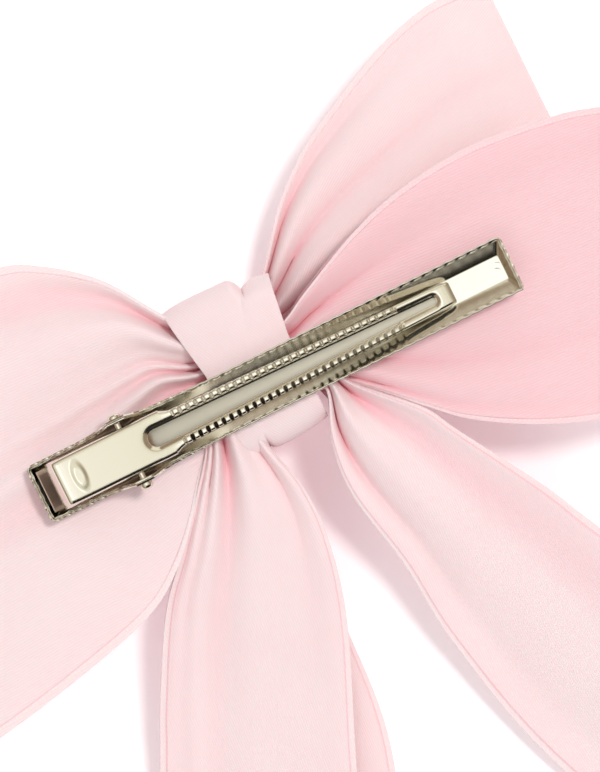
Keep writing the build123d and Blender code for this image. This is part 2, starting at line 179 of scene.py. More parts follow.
class Graph:
    """A new material, with short calls for the nodes that the materials are made of."""

    def __init__(self, name):
        self.material = bpy.data.materials.new(name)
        self.material.use_nodes = True
        self.nodes, self.links = self.material.node_tree.nodes, self.material.node_tree.links
        self.shader = self.nodes["Principled BSDF"]

    def put(self, value, socket):
        """Sets a constant on the socket, or links another node's output to it."""
        if isinstance(value, (tuple, int, float)):
            socket.default_value = value
        else:
            self.links.new(value, socket)

    def set(self, **values):
        """Values for the shader's sockets, named with underscores for spaces."""
        for title, value in values.items():
            self.put(value, self.shader.inputs[title.replace("_", " ")])

    def math(self, operation, *inputs):
        node = self.nodes.new("ShaderNodeMath")
        node.operation = operation
        for socket, value in zip(node.inputs, inputs):
            self.put(value, socket)
        return node.outputs[0]

    def wave(self, place, pitch):
        return self.math("SINE", self.math("MULTIPLY", place, 2 * math.pi / pitch))

    def distance(self, place, centre):
        return self.math("ABSOLUTE", self.math("SUBTRACT", place, centre))

    def mix(self, factor, a, b):
        node = self.nodes.new("ShaderNodeMix")
        node.data_type = "RGBA"
        for title, value in (("Factor", factor), ("A", a), ("B", b)):
            self.put(value, node.inputs[title])
        return node.outputs["Result"]

    def blend(self, amount, share, base, colour):
        """base with up to share of colour, where amount is 1."""
        return self.mix(self.math("MULTIPLY", amount, share), base, colour)

    def noise(self, vector, scale, detail=3.0, roughness=0.5):
        node = self.nodes.new("ShaderNodeTexNoise")
        inputs = {"Scale": scale, "Detail": detail, "Roughness": roughness, "Vector": vector}
        for title, value in inputs.items():
            self.put(value, node.inputs[title])
        return node.outputs["Fac"]

    def stretch(self, vector, scale):
        node = self.nodes.new("ShaderNodeMapping")
        node.inputs["Scale"].default_value = scale
        self.links.new(vector, node.inputs[0])
        return node.outputs[0]

    def split(self, vector):
        node = self.nodes.new("ShaderNodeSeparateXYZ")
        self.links.new(vector, node.inputs[0])
        return node.outputs

    def uv(self, title):
        node = self.nodes.new("ShaderNodeUVMap")
        node.uv_map = title
        return node.outputs[0]

    def place(self):
        return self.nodes.new("ShaderNodeTexCoord").outputs["Object"]

    def ramp(self, value, low, high):
        node = self.nodes.new("ShaderNodeMapRange")
        node.interpolation_type = "SMOOTHSTEP"
        node.inputs["From Min"].default_value, node.inputs["From Max"].default_value = low, high
        self.links.new(value, node.inputs["Value"])
        return node.outputs[0]

    def relief(self, height, strength, depth):
        node = self.nodes.new("ShaderNodeBump")
        node.inputs["Strength"].default_value, node.inputs["Distance"].default_value = strength, depth * MM
        self.links.new(height, node.inputs["Height"])
        self.links.new(node.outputs[0], self.shader.inputs["Normal"])


def satin(name, half_width, weave_turn):
    """Pale pink satin. The map "ribbon" holds millimetres from the middle of the ribbon and along it, as cut.
    "weave" holds the same as it lies gathered, so that the threads keep their spacing. The third map holds
    painted shade: how much deeper the pink is painted in the valleys of the gathers, and over a loop that is
    painted darker as if it lay turned away from the light."""
    g = Graph(name)
    lying = g.uv("weave")
    spread = g.split(lying)
    edge, along = g.math("ABSOLUTE", g.split(g.uv("ribbon"))[0]), spread[1]
    # painted shade, read from the third map: deeper pink in the gathers' valleys and over a loop turned from
    # the light
    painted_fold_shade, painted_side_shade = g.split(g.uv("painted_shade"))[:2]

    twill = g.math("MULTIPLY_ADD", along, math.tan(math.radians(weave_turn)), spread[0])
    weft = g.math("MULTIPLY_ADD", g.wave(along, WEFT_PITCH), 0.3, 0.7)
    cloth = g.math("MULTIPLY", g.wave(twill, WARP_PITCH), weft)
    streaks = g.noise(g.stretch(lying, (2.4, 0.16, 1.0)), 1.0, 4.0, 0.65)
    patches = g.noise(lying, 0.06)

    seam_at = half_width - HEM_WIDTH
    hem = g.ramp(edge, seam_at - 0.05, seam_at + 0.12)
    stitch = g.wave(along, STITCH_PITCH)
    seam = g.math("LESS_THAN", g.distance(edge, seam_at), SEAM_HALF)
    dots = g.math("LESS_THAN", g.distance(edge, seam_at + 2 * STITCH_HALF), STITCH_HALF)
    dots = g.math("MULTIPLY", dots, g.math("GREATER_THAN", stitch, 0.0))

    base = g.mix(patches, SATIN_TINT, SATIN_PALE)
    # painted shade: the deeper pink from the third map is added to the share of the darker thread colour
    painted_shade_sum = g.math("ADD", painted_fold_shade, painted_side_shade)
    thread = g.math("ADD", g.math("MULTIPLY_ADD", cloth, 0.13, 0.15), painted_shade_sum)
    base = g.mix(thread, base, SATIN_DEEP_AND_SHADE)
    base = g.blend(streaks, 0.25, base, SATIN_PALE)
    base = g.blend(hem, 0.30, base, SATIN_PALE)
    base = g.blend(seam, 0.42, base, SATIN_DEEP_AND_SHADE)
    base = g.blend(dots, 0.28, base, STITCH_COLOUR)

    rough = g.math("MULTIPLY_ADD", streaks, 0.12, 0.44)
    rough = g.math("MULTIPLY_ADD", hem, 0.12, rough)
    g.set(Base_Color=base, Roughness=rough, Specular_IOR_Level=0.22)
    g.set(Sheen_Weight=0.12, Sheen_Roughness=0.5, Sheen_Tint=(1.0, 0.86, 0.88, 1))
    g.set(Subsurface_Weight=0.3, Subsurface_Radius=(1.0, 0.55, 0.60), Subsurface_Scale=0.8 * MM)

    height = g.math("MULTIPLY_ADD", stitch, g.math("MULTIPLY", hem, 0.8), cloth)
    height = g.math("MULTIPLY_ADD", seam, -1.6, height)
    g.relief(g.math("MULTIPLY_ADD", streaks, 0.8, height), 0.30, 0.035)
    return g.material


def nickel(name, colour, roughness, scratches=0.5, grain=(1, 1, 1), wear=0.3, rubbed=None):
    """Bright nickel plating: fine scratches along the grain and a faint warm tarnish, with painted shade,
    near black, where the mesh's attribute says. rubbed is the (x, half width) up to which the plating is
    dulled."""
    g = Graph(name)
    place = g.place()
    fine = g.noise(g.stretch(place, grain), 900.0, 6.0, 0.7)
    cloudy = g.noise(place, 160.0)
    specks = g.noise(place, 2600.0, 2.0)
    tarnish = (colour[0] * 0.90, colour[1] * 0.86, colour[2] * 0.78, 1)
    base = g.blend(cloudy, wear, (*colour, 1), tarnish)
    # painted shade: near black where the mesh's attribute is set, in the lever's rib gaps
    painted_gap_shade = g.nodes.new("ShaderNodeAttribute")
    painted_gap_shade.attribute_name = "painted_gap_shade"
    worn = g.math("MULTIPLY_ADD", fine, 0.10 * scratches, roughness - 0.04 * scratches)
    worn = g.math("MULTIPLY_ADD", cloudy, 0.05, worn)
    if rubbed:
        spot = g.split(place)
        behind = g.math("LESS_THAN", spot[0], rubbed[0] * MM)
        between = g.math("LESS_THAN", g.distance(spot[1], CLIP_Y * MM), rubbed[1] * MM)
        worn = g.math("MULTIPLY_ADD", g.math("MULTIPLY", behind, between), 0.30, worn)
    g.set(Base_Color=g.mix(painted_gap_shade.outputs["Fac"], base, GAP_SHADE_COLOUR), Metallic=1.0, Roughness=worn)
    g.relief(g.math("MULTIPLY_ADD", specks, 0.5, fine), 0.10 * scratches, 0.02)
    return g.material


def plain(name, colour, roughness, scale, amount, transmission=0.0, subsurface=0.0):
    """Glue or thread: one colour, mottled by up to amount at the noise's scale."""
    g = Graph(name)
    grain = g.noise(g.place(), scale, 4.0)
    darker = tuple(c * (1 - amount) for c in colour)
    g.set(Base_Color=g.mix(grain, (*colour, 1), (*darker, 1)), Roughness=roughness)
    g.set(Transmission_Weight=transmission, Subsurface_Weight=subsurface)
    g.set(Subsurface_Radius=(0.002, 0.002, 0.002))
    g.relief(grain, 0.2, 0.1)
    return g.material


def finish_piece(obj, body, material, slot, *nodes):
    obj.data.materials.append(material)
    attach(obj, body)
    if nodes:
        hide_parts(*nodes)
    return obj


# ---------------------------------------------------------------- clip


def in_clip(x, y, z):
    """Row-frame millimetres from the clip's own measure: x from the tray's rear end, z from its floor."""
    return np.stack(np.broadcast_arrays(CLIP_REAR + x, CLIP_Y + y, FLOOR_Z + z), axis=-1)


PIN_X = HINGE[0] - CLIP_REAR
TRAY_LENGTH = TRAY_HIGH[0] - TRAY_LOW[0]


def tray_loop(half_length, half_width, radius, count):
    """Evenly spaced points round a rounded rectangle: x, y and the outward direction."""
    straight_x, straight_y = half_length - radius, half_width - radius
    quarter = math.pi / 2 * radius
    perimeter = 4 * (straight_x + straight_y + quarter)
    out = []
    for s in np.arange(count) * perimeter / count:
        for side in range(4):
            run = 2 * (straight_y if side % 2 == 0 else straight_x)
            if s < run + quarter or side == 3:
                break
            s -= run + quarter
        turn = side * math.pi / 2 + (0 if s < run else (s - run) / radius)
        along = min(s, run)
        n = np.array([math.cos(turn), math.sin(turn)])
        corner = [(straight_x, -straight_y), (straight_x, straight_y), (-straight_x, straight_y)]
        corner = (corner + [(-straight_x, -straight_y)])[side]
        direction = np.array([-math.sin(side * math.pi / 2), math.cos(side * math.pi / 2)])
        out.append([*(np.array(corner) + direction * along + n * radius), *n])
    return np.array(out)


def tray_rings():
    """Inset from the rim, height and corner radius of each ring, from the floor up over the rim."""
    foot, lip, crest = 2.5, 0.38, 1.72
    rings = [(4.2, 0.0, 0.2), (3.4, 0.0, 0.25), (foot + 0.2, 0.0, 0.3)]
    for t in np.linspace(0, 1, 16) ** 1.4:
        rings.append((foot - (foot - lip) * t, crest * t**1.2, 0.3 + 0.12 * t))
    return rings + [(0.29, 1.84, 0.42), (0.13, 1.88, 0.42), (0.0, 1.82, 0.42), (0.0, 1.62, 0.42)]


def build_tray():
    """Pressed trough: rings from the middle of the floor to the crimped rim, with two leaning ears."""
    count = 1400
    rings = tray_rings()
    half_length, half_width = TRAY_LENGTH / 2, 4.52
    ear_rise, ear_width, ear_lean = 2.95, 3.3, 0.62
    crimp, long_pitch, end_pitch = 0.05, 1.9, 1.7
    layers = []
    for k, (inset, height, radius) in enumerate(rings):
        ring = tray_loop(half_length - inset * 0.5, half_width - inset, radius, count)
        x, y, nx, ny = ring[:, 0] + half_length, ring[:, 1], ring[:, 2], ring[:, 3]
        on_side = np.abs(ny)
        # the walls stand steeper behind and beside the hinge, where the spring lies
        upright = (1 - step(x, 20, 32)) * on_side * (0 if k < 2 else 1)
        y = y + np.sign(y) * upright * inset * 0.55
        share = height / rings[-3][1]
        crest = share * np.clip(bump(x, PIN_X, ear_width) * on_side * 1.25, 0, 1)
        z = height + crest * ear_rise
        y = y + ny * crest * ear_lean
        if k >= len(rings) - 4:
            tooth = np.sin(2 * math.pi * (x + 0.35 * y) / long_pitch)
            y = y + ny * crimp * tooth * (1 - crest)
            x = x + nx * crimp * np.sin(2 * math.pi * y / end_pitch)
            z = z + 0.6 * crimp * np.cos(2 * math.pi * (x + y) / long_pitch)
        layers.append(in_clip(x, y, z))
    faces = grid_faces(len(rings), count, wrap_cols=True)
    faces.append(tuple(range(count))[::-1])
    tray = mesh_object("base_tray_shell", np.array(layers).reshape(-1, 3), [f[::-1] for f in faces])
    return solidify(tray, METAL_SHEET, -1.0)


def lever_stations():
    """Side view of the upper jaw: x and z of its top, from the rear flange to the tip."""
    rear = [(2.75, 4.35), (3.1, 5.15), (3.5, 5.95), (3.75, 6.38), (4.05, 6.66), (4.5, 6.76), (5.2, 6.70)]
    top = [(8.0, 6.30), (12.0, 5.72), (16.0, 5.14), (20.0, 4.56), (22.5, 4.22), (25.0, 4.02), (35.0, 3.34)]
    front = [(45.0, 2.66), (55.0, 1.98), (63.0, 1.44), (66.5, 1.22), (68.2, 1.10), (69.3, 0.95)]
    tip = [(70.0, 0.62), (70.12, 0.2)]
    return smooth_path(rear + top + front + tip, 1500)[0]


def slot_half_width(x):
    """Half width of the long slot at x, the same without its round ends, and how far x is past the centre of
    a round end."""
    start, root, end, tip = 18.6, 1.36, 67.3, 0.5
    taper = np.interp(x, [start + root, end - tip], [root, tip])
    near = np.sqrt(np.clip(root**2 - np.clip(start + root - x, 0, None) ** 2, 0, None))
    far = np.sqrt(np.clip(tip**2 - np.clip(x - end + tip, 0, None) ** 2, 0, None))
    width = np.where(x < start + root, near, np.where(x > end - tip, far, taper))
    beyond = np.maximum(np.maximum(start + root - x, x - (end - tip)), 0)
    return width, taper, beyond


def lever_half(rib_depth):
    """One side of the upper jaw, from the slot out over the rounded shoulder and down the flange, with the
    share of painted shade, near black, in its rib gaps."""
    path = lever_stations()
    x, crest = path[:, 0], path[:, 1]
    turned = 1 - step(x, 3.6, 5.4)
    plan = [(2.7, 3.5), (4.5, 3.62), (8, 3.68), (20.5, 3.68), (21.8, 3.5), (23.3, 2.98), (25, 2.92)]
    outer = curve_at(x, plan + [(45, 2.42), (62, 2.0), (69.0, 1.78), (70.2, 1.5)])
    slot, centre, beyond = slot_half_width(x)
    span = outer - slot
    bend = np.minimum(0.8, span * 0.30)
    flange_at = [2.7, 4.6, 6.0, 19, 23.5, 26, 66, 69.5, 70.2]
    flange = np.interp(x, flange_at, [0.05, 0.5, 1.35, 1.5, 1.15, 0.8, 0.55, 0.35, 0.05])
    row = step(x, 23.2, 24.2) * (1 - step(x, 60.4, 61.0))
    fade = np.interp(x, [23, 32, 61], [1.0, 0.9, 0.5])
    gap = (1 - step(np.abs(np.sin(math.pi * (x - FIRST_RIB) / RIB_PITCH)), 0.12, 0.80)) * row * fade
    top, down = 26, 7
    share = np.concatenate([np.linspace(0, 1, top), np.ones(down)])
    drop = np.concatenate([np.zeros(top), np.linspace(1 / down, 1, down)])
    points, painted_gap_shade = [], []
    for w, f in zip(share, drop):
        y = slot + span * w
        over = np.clip((y - (outer - bend)) / bend, 0, 1)
        z = crest - 0.62 * bend * (1 - np.sqrt(np.clip(1 - over**2, 0, 1)))
        # plunged band round the slot
        distance = np.where(beyond > 0, np.hypot(beyond, y) - centre, y - centre)
        band = np.exp(-((np.clip(distance, 0, None) / 0.46) ** 2))
        z -= 0.46 * band * step(x, 16.5, 18.0) * (1 - step(x, 67.6, 68.2))
        # ribs with rounded tops and narrow gaps, over the outer part of each prong
        z -= rib_depth * gap * step(w, 0.26, 0.46)
        z += 0.10 * row * step(w, 0.20, 0.40)
        z += 0.16 * bump(x, 60.9, 0.22) * bump(w, 0.5, 0.5)
        # oval boss in the thumb plate
        oval = np.hypot((x - 7.1) / 1.15, y / 2.6)
        z += 0.20 * (1 - step(oval, 0.45, 1.10)) * (1 - turned)
        y = y + f * (0.10 + 0.12 * turned) * (x < 70)
        z = z - f * flange
        points.append(in_clip(x, y, z))
        # painted shade: the rib gaps are painted near black
        painted_gap_shade.append(np.clip(1.5 * gap * step(w, 0.30, 0.52) - 0.2, 0, 1))
    return np.array(points), np.array(painted_gap_shade)


def build_lever():
    """Thumb plate, slot and ridged prongs as one sheet, from one outer edge over the crown to the other."""
    near, near_gap_shade = lever_half(0.62)
    far, far_gap_shade = lever_half(0.26)
    near[:, :, 1] = 2 * CLIP_Y - near[:, :, 1]
    cols, rows = near.shape[:2]
    one = grid_faces(cols, rows)
    verts = np.concatenate([near[::-1].reshape(-1, 3), far.reshape(-1, 3)])
    faces = one + [tuple(i + cols * rows for i in f) for f in one]
    lever = mesh_object("lever_shell", verts, faces)
    dark = lever.data.attributes.new("painted_gap_shade", "FLOAT", "POINT")
    # painted shade in the rib gaps, fainter on the prong with the shallower ribs
    painted_gap_shade = np.concatenate([near_gap_shade[::-1].ravel(), 0.3 * far_gap_shade.ravel()])
    dark.data.foreach_set("value", painted_gap_shade.astype(np.float32))
    weld(lever, 0.004)
    solidify(lever, METAL_SHEET, -1.0)
    return lever


def lathe(name, profile, centre, axis, segments=56):
    """Solid of revolution. profile holds (distance along the axis, radius)."""
    profile = np.array(profile, float)
    turn = np.linspace(0, 2 * math.pi, segments, endpoint=False)
    axis = Vector(axis).normalized()
    side = axis.orthogonal().normalized()
    up = axis.cross(side)
    ring = np.array([[*(math.cos(t) * side + math.sin(t) * up)] for t in turn])
    pts = centre + profile[:, 0, None, None] * np.array(axis) + profile[:, 1, None, None] * ring[None]
    faces = grid_faces(len(profile), segments, wrap_cols=True)
    last = (len(profile) - 1) * segments
    faces += [tuple(range(segments))[::-1], tuple(range(last, last + segments))]
    return mesh_object(name, pts.reshape(-1, 3), faces)


def build_pin():
    """Pin with a low domed head outside each ear."""
    low, high = PIN_LOW[1] - HINGE[1], PIN_HIGH[1] - HINGE[1]
    face = 5.12

    def head(outer):
        sign = math.copysign(1, outer)
        depth = abs(outer) - face
        rim = [(0.0, 0.55), (0.04, 0.95), (0.18, 1.03), (0.5, 1.05)]
        dome = [(0.72, 0.98), (0.88, 0.8), (0.97, 0.52), (1.0, 0.2)]
        return [(sign * (face + depth * d), r) for d, r in rim + dome]

    profile = head(low)[::-1] + [(-4.4, 0.5), (-2.0, 0.5), (2.0, 0.5), (4.4, 0.5)] + head(high)
    profile = [(low, 0.05)] + profile + [(high, 0.05)]
    return lathe("pivot_pin_riveted", profile, HINGE, (0, 1, 0))


def build_spring():
    """Leaf bent round the front of the pin: a wide tab at the rear of the tray, along its floor and back up
    under the thumb plate."""
    tab = [(0.9, 1.5), (2.2, 0.85), (3.4, 0.42), (4.8, 0.26), (6.4, 0.22)]
    floor = [(9.0, 0.2), (13.0, 0.2), (16.6, 0.2), (18.3, 0.75)]
    upper = [(19.0, 2.3), (18.2, 3.75), (16.6, 4.2), (13.0, 4.75), (9.5, 5.22), (6.2, 5.62)]
    line, _ = smooth_path(tab + floor + upper, 160)
    width = np.interp(np.linspace(0, 1, len(line)), [0, 0.16, 0.2, 1], [3.4, 3.4, 2.9, 2.9])
    points = np.stack([in_clip(line[:, 0], y * width, line[:, 1]) for y in np.linspace(-1, 1, 9)])
    strip = solidify(grid_object("leaf_spring_strip", points), 0.28)
    bevel = strip.modifiers.new("edge", "BEVEL")
    bevel.width, bevel.segments = 0.05 * MM, 2
    bevel.limit_method, bevel.angle_limit = "ANGLE", 1.0
    return strip


# ---------------------------------------------------------------- bow


def folds(v, grown, table):
    """Height of the gathers. A row of table holds the place across, the width, the height at the knot and
    the share of it that is left where the ribbon has opened. It is a rounded ridge or valley, but a narrow
    drop is a crease that closes to a slit towards the knot."""
    total = 0
    for place, width, tall, left in table:
        if tall > 0 or width > WIDEST_CREASE:
            shape = bump(v, place, width * (1 + 0.35 * (1 - grown)))
        else:
            far = np.hypot(v - place, CREASE_SOFT) - CREASE_SOFT
            shape = np.exp(-far / (width * (1 + 1.6 * (1 - grown))))
        total = total + shape * tall * (left + (1 - left) * grown)
    return total


def across_samples(half_width, cols):
    """Places across the ribbon from -1 to 1, closer together at the two hems."""
    hem = 1.7 / half_width
    inner = np.linspace(-1 + hem, 1 - hem, cols)
    edge = np.array([0.0, 0.08, 0.2, 0.4, 0.6, 0.72, 0.8, 0.88, 0.95])
    return np.concatenate([-1 + hem * edge, inner, (1 - hem * edge)[::-1]])


def hem_rise(v, half_width, opening):
    """Thickened band along both edges, with a stitched-down groove inside it. opening is the gathered width
    of each row as a share of the full width: band and groove lie flatter where it is small."""
    d = (1 - np.abs(v)) * half_width
    rise = 0.15 * (1 - step(d, HEM_WIDTH - 0.2, HEM_WIDTH + 0.1)) - 0.10 * bump(d, HEM_WIDTH, 0.16)
    return rise[None, :] * np.clip(1.15 * opening, 0.2, 1)[:, None]


def offset_along_normal(points, rise):
    """Moves a grid of points along its own normals."""
    du, dv = np.gradient(points, axis=0), np.gradient(points, axis=1)
    normal = np.cross(du, dv)
    normal /= np.linalg.norm(normal, axis=2, keepdims=True) + 1e-9
    return points + normal * rise[..., None]


def ribbon_maps(points, v, half_width, run, painted_fold_shade=0.0, painted_side_shade=0.0):
    """The maps that the satin reads: as cut, as it lies, and the painted shade, a deeper pink in the valleys
    of the gathers and over a loop painted darker as if turned from the light.
    """
    cut = np.stack(np.broadcast_arrays(v[None, :] * half_width, run[:, None]), axis=-1)
    across = np.cumsum(np.linalg.norm(np.diff(points, axis=1), axis=2), axis=1)
    across = np.concatenate([np.zeros((len(points), 1)), across], axis=1)
    across = across - across[:, [points.shape[1] // 2]]
    lying = np.stack(np.broadcast_arrays(across, run[:, None]), axis=-1)
    # painted shade: the first value deepens the pink in the valleys, the second over a whole loop
    depth = 0.6 * np.clip(painted_fold_shade, 0, 1) + 0 * points[..., 0]
    painted_shade = np.stack(np.broadcast_arrays(depth, painted_side_shade), axis=-1)
    return {"ribbon": cut, "weave": lying, "painted_shade": painted_shade}


def build_loop(side, profile, edges, gathers, crown, seed, painted_side_shade=0.0):
    """Half ring of ribbon from the knot out, round the fold and back. profile is its side view (r, z). edges
    holds the outlines of the layer next to the clip and of the layer behind it, each as the (r, y) of its
    upper and its lower edge, and gathers holds the fold tables of the two layers. The last argument is
    painted shade: a deeper pink over the whole loop, as if it lay turned away from the light."""
    cols, rows, neck = 120, 250, 7.0
    rng = np.random.default_rng(seed)
    line, length = smooth_path(profile, rows)
    r, z = line[:, 0], line[:, 1]
    turn = int(np.argmax(r))
    v = across_samples(LOOP_HALF, cols)
    share = (v + 1) / 2
    reach = r[turn]
    front_mix = step(np.arange(rows), turn - rows * 0.07, turn + rows * 0.07)[:, None]

    def plan(outline):
        top, low = curve_at(r, outline[0]), curve_at(r, outline[1])
        return low[:, None] + (top - low)[:, None] * share[None, :]

    y = plan(edges[0]) * (1 - front_mix) + plan(edges[1]) * front_mix
    grown = np.exp(-np.clip(r - neck, 0, None) / 16.0)[:, None]
    opened = 1 - np.exp(-np.clip(r - neck, 0, None) / 14.0)[:, None]
    flat_end = step(r, reach, reach - 10)[:, None]
    outward = 1 - 2 * front_mix
    back_lift = folds(v[None, :], grown, gathers[0]) * (1 - front_mix)
    front_lift = folds(v[None, :], grown, gathers[1]) * front_mix
    lift = back_lift - front_lift
    # painted shade: deeper pink in the valleys of the gathers, and in a narrow band where the ribbon runs
    # under the wrap
    painted_fold_shade = -(back_lift + front_lift) / 2.6 + bump(r, neck + 0.5, 0.9)[:, None]
    bulge = crown * (1 - v[None, :] ** 2) * opened * (0.25 + 0.75 * flat_end)
    wrinkle = 0
    for _ in range(7):
        place, width = rng.uniform(-0.9, 0.9), rng.uniform(0.05, 0.16)
        start, far = rng.uniform(7, 16), rng.uniform(10, 34)
        drift = rng.uniform(-0.12, 0.12)
        wave = bump(v[None, :] + drift * (r[:, None] - start) / 30, place, width)
        wrinkle = wrinkle + rng.uniform(-0.35, 0.4) * wave * bump(r[:, None], start, far)
    wrinkle = wrinkle * (1 - step(r, reach - 14, reach - 3))[:, None]
    zz = z[:, None] + lift * (0.2 + 0.8 * flat_end) + (bulge + wrinkle) * outward
    xx = np.broadcast_to((side * r)[:, None], zz.shape)
    points = np.stack([xx, y, zz], axis=-1)
    opening = np.abs(y[:, -1] - y[:, 0]) / (2 * LOOP_HALF)
    points = offset_along_normal(points, side * 0.8 * hem_rise(v, LOOP_HALF, opening))
    points[..., 2] = np.maximum(points[..., 2], RESTING_CLEARANCE)
    return points, ribbon_maps(points, v, LOOP_HALF, np.linspace(0, length, rows), painted_fold_shade, painted_side_shade)


def join_grids(name, grids, flip):
    """One mesh from several grids, with the faces of grid number flip turned over."""
    verts, faces, maps, base = [], [], {"ribbon": [], "weave": [], "painted_shade": []}, 0
    for k, (points, uv) in enumerate(grids):
        rows, cols = points.shape[:2]
        new = [tuple(i + base for i in f) for f in grid_faces(rows, cols)]
        faces += [f[::-1] for f in new] if k == flip else new
        verts.append(points.reshape(-1, 3))
        for title in maps:
            maps[title].append(uv[title].reshape(-1, 2))
        base += rows * cols
    return mesh_object(name, np.concatenate(verts), faces, {t: np.concatenate(m) for t, m in maps.items()})


BACK_PROFILE = [(1.0, 17.6), (7, 18.4), (11, 18.6), (24, 19.0), (42, 20.2), (62, 19.4), (73, 17.7)]
BACK_PROFILE += [(77.6, 15.7), (73, 13.8), (60, 12.9), (42, 12.6), (20, 12.9), (7, 13.3), (1.0, 13.6)]
FRONT_PROFILE = [(1.0, 7.6), (7, 8.4), (12, 9.6), (22, 10.8), (36, 11.0), (49, 9.4), (57, 7.0), (59.4, 5.3)]
FRONT_PROFILE += [(56, 3.1), (47, 1.5), (38, 1.0), (28, 1.3), (12, 2.6), (7, 3.2), (1.0, 3.6)]


def build_back_loops():
    """The two loops next to the clip. The left one stands out further at its upper edge."""
    right_top = [(0, 2.6), (7, 3.6), (12.5, 6.4), (23.1, 11.3), (32.3, 14.0), (44.5, 15.2), (58.8, 13.6)]
    right_low = [(0, -5.0), (7, -6.2), (12.5, -9.2), (20.9, -17.2), (26.9, -22.6), (36.8, -28.3)]
    right_back = (right_top + [(68, 11.0), (80, 8.2)], right_low + [(48, -32.2), (62, -34.6), (80, -36.6)])
    right_top = [(0, 2.8), (7, 4.0), (12.5, 7.0), (23.1, 11.6), (32.3, 13.0), (44.5, 13.6), (58.8, 12.6)]
    right_low = [(0, -5.0), (7, -5.8), (12.5, -8.0), (20.9, -15.0), (26.9, -20.2), (36.8, -26.3)]
    right_front = (right_top + [(68, 11.0), (80, 8.2)], right_low + [(48, -31.0), (62, -34.0), (80, -36.6)])
    left_top = [(0, 8.8), (7, 11.2), (9.2, 13.2), (14.1, 20.6), (18, 24.6), (22.4, 27.8), (27.5, 30.3)]
    left_low = [(0, -5.4), (7, -6.2), (10, -8.0), (14.0, -11.3), (19.1, -17.8), (24.2, -23.1), (30.9, -27.5)]
    left_back = (
        left_top + [(40, 32.4), (60, 30.2), (80, 27.4)],
        left_low + [(43.4, -31.0), (59.5, -34.2), (80, -37.0)],
    )
    left_top = [(0, 8.4), (7, 9.6), (12, 14.0), (18, 20.6), (24, 25.2), (30, 28.2), (40, 30.4)]
    left_low = [(0, -5.4), (7, -5.8), (12, -8.6), (19.1, -15.6), (24.2, -21.1), (30.9, -26.0)]
    left_front = (
        left_top + [(60, 29.6), (80, 27.4)],
        left_low + [(43.4, -30.2), (59.5, -34.0), (80, -37.0)],
    )
    right_folds = [(0.97, 0.20, 2.6, 0.85), (0.60, 0.05, -2.2, 0.02), (0.36, 0.14, 1.2, 0.2)]
    right_folds += [(0.12, 0.05, -1.8, 0.0), (-0.15, 0.16, 0.9, 0.1), (-0.42, 0.05, -2.6, 0.05)]
    right_folds += [(-0.66, 0.12, 1.3, 0.2), (-0.86, 0.03, -1.6, 0.0), (-0.93, 0.03, 0.7, 0.0)]
    left_folds = [(0.95, 0.07, 1.3, 0.45), (0.77, 0.11, -2.2, 0.44), (0.47, 0.20, 2.5, 0.26)]
    left_folds += [(0.19, 0.04, -1.2, 0.05), (0.12, 0.03, 1.3, 0.15), (0.045, 0.06, -2.4, 0.22)]
    left_folds += [(-0.04, 0.05, 2.4, 0.42), (-0.18, 0.10, -2.6, 0.24), (-0.5, 0.25, 1.0, 0.3)]
    under = [(0.6, 0.2, 0.6, 0.3), (0.0, 0.08, -0.9, 0.2), (-0.6, 0.2, 0.5, 0.3)]
    # the right loop gets 0.40 of painted shade, a deeper pink as if it faced away from the key light
    right = build_loop(1, BACK_PROFILE, (right_back, right_front), (right_folds, under), -0.6, 3, 0.40)
    left = build_loop(-1, BACK_PROFILE, (left_back, left_front), (left_folds, under), 1.2, 5)
    return join_grids("back_loops_ribbon", [right, left], flip=0)


def build_front_loops():
    """The two loops on the bow's face. The right one shows past the clip's tip as the tall lobe."""
    right_top = [(0, 8.6), (5, 9.8), (8.3, 12.6), (14.2, 19.8), (19.1, 24.4), (25.1, 28.5), (38.9, 35.3)]
    right_low = [(0, -0.8), (7, -1.4), (14, -5.6), (24, -10.4), (36, -13.6), (48, -15.0)]
    right = (right_top + [(48.1, 38.1), (54.6, 38.4), (62, 37.6)], right_low + [(56, -14.6), (62, -14.0)])
    left_top = [(0, 8.6), (5, 9.2), (9, 11.6), (14.2, 16.8), (19.1, 21.0), (25.1, 25.0), (38.9, 31.3)]
    left_low = [(0, -0.8), (7, -1.4), (14, -5.6), (24, -10.2), (36, -13.2), (48, -14.4), (62, -13.4)]
    left = (left_top + [(48.1, 34.6), (62, 36.6)], left_low)
    gathers = [(0.98, 0.05, 1.4, 0.3), (0.86, 0.035, -3.0, 0.06), (0.66, 0.16, 1.6, 0.4)]
    gathers += [(0.46, 0.05, -3.0, 0.16), (0.24, 0.14, 1.4, 0.3), (0.0, 0.06, -1.8, 0.1)]
    gathers += [(-0.3, 0.2, 0.7, 0.4), (-0.6, 0.08, -1.4, 0.2)]
    under = [(0.8, 0.10, 1.4, 0.3), (0.58, 0.05, -2.2, 0.2), (0.32, 0.16, 1.4, 0.4), (0.05, 0.06, -2.4, 0.15)]
    under += [(-0.25, 0.16, 1.2, 0.4), (-0.52, 0.05, -2.0, 0.15), (-0.78, 0.12, 1.0, 0.3)]
    grids = [build_loop(1, FRONT_PROFILE, (right, right), (gathers, under), 1.4, 11)]
    grids.append(build_loop(-1, FRONT_PROFILE, (left, left), (gathers, under), 1.4, 13))
    return join_grids("front_loops_ribbon", grids, flip=0)


